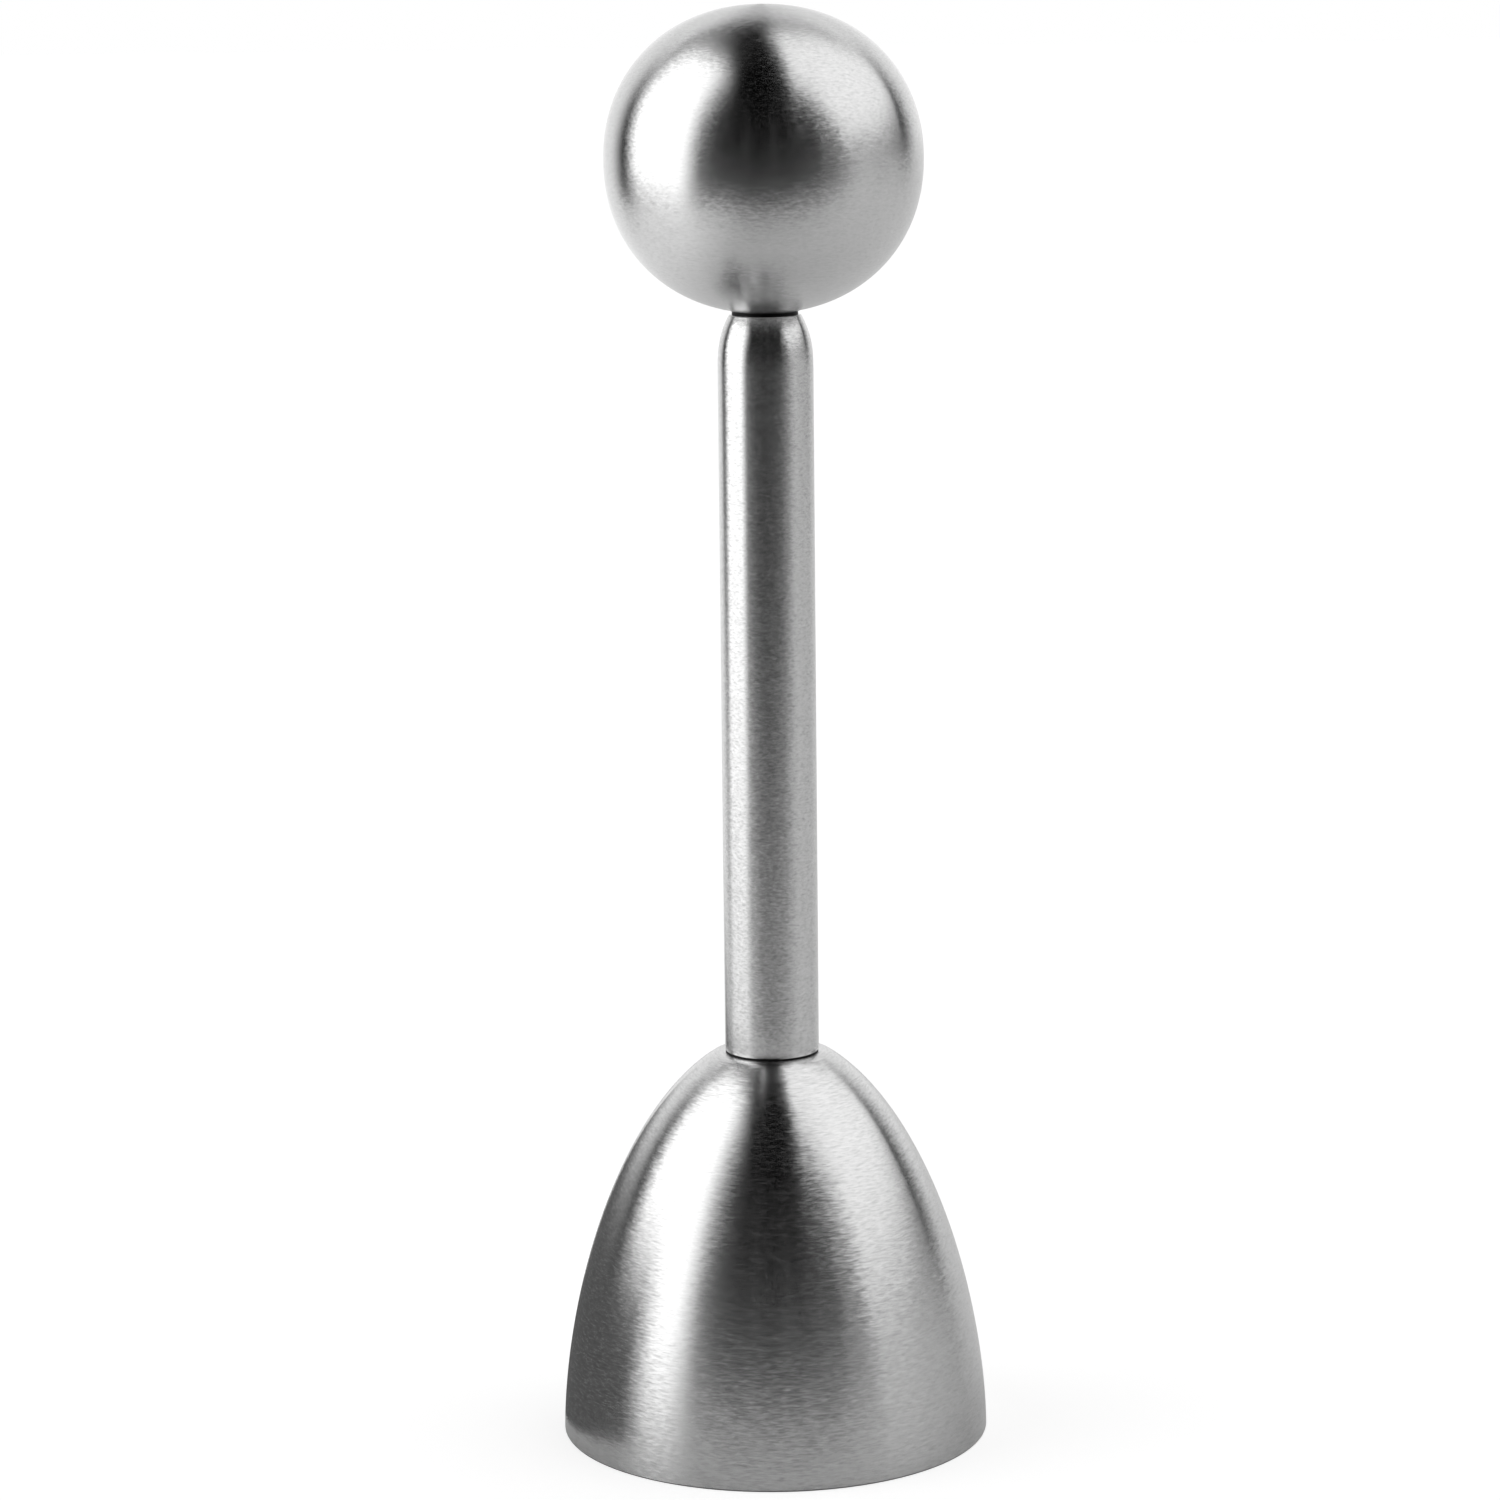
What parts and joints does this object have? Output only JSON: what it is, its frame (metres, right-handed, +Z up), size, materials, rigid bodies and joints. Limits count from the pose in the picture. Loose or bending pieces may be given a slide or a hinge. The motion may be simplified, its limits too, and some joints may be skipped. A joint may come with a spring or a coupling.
{
  "type": "egg topper",
  "caption": "Bell-shaped cup on a slim tube handle topped by a ball; the ball is pulled up against a spring and let go so the cup's rim cracks an eggshell.",
  "frame": {"origin": "centre of the bell's rim, on the plane that the rim rests on", "axes": "+Z up the handle to the ball, +X to the right and -Y towards the camera of the picture"},
  "size_m": [0.039, 0.039, 0.1299],
  "materials": {
    "brushed": "fine brush marks round the axis",
    "bright": "turned, bright",
    "spring": "drawn wire",
    "bush": "black, matte",
    "seal": "black, matte"
  },
  "bodies": {
    "cup_and_handle": {"bell_cup": "brushed", "seal_ring": "seal", "handle_tube": "brushed", "end_plug": "bright", "base_washer": "bright", "split_washer": "bright", "base_screw": "bright", "guide_bush": "bush", "upper_spring_washer": "bright", "return_spring": "spring"},
    "spring_seat": {"lower_spring_washer": "bright"},
    "plunger": {"lock_nut": "bright", "striker": "bright", "pull_rod": "bright", "ball_insert": "bright", "ball_lower_shell": "brushed", "ball_upper_shell": "brushed"}
  },
  "joints": [
    {"name": "ball_pull", "type": "slide", "parent": "cup_and_handle", "child": "spring_seat", "axis": [0, 0, 1], "range_m": [0, 0.018], "stiffness_N_per_m": 370, "springref_m": -0.009, "deforming": ["return_spring"]},
    {"name": "ball_spin", "type": "hinge", "parent": "spring_seat", "child": "plunger", "pos_m": [0, 0, 0.1163], "axis": [0, 0, 1], "continuous": true}
  ]
}
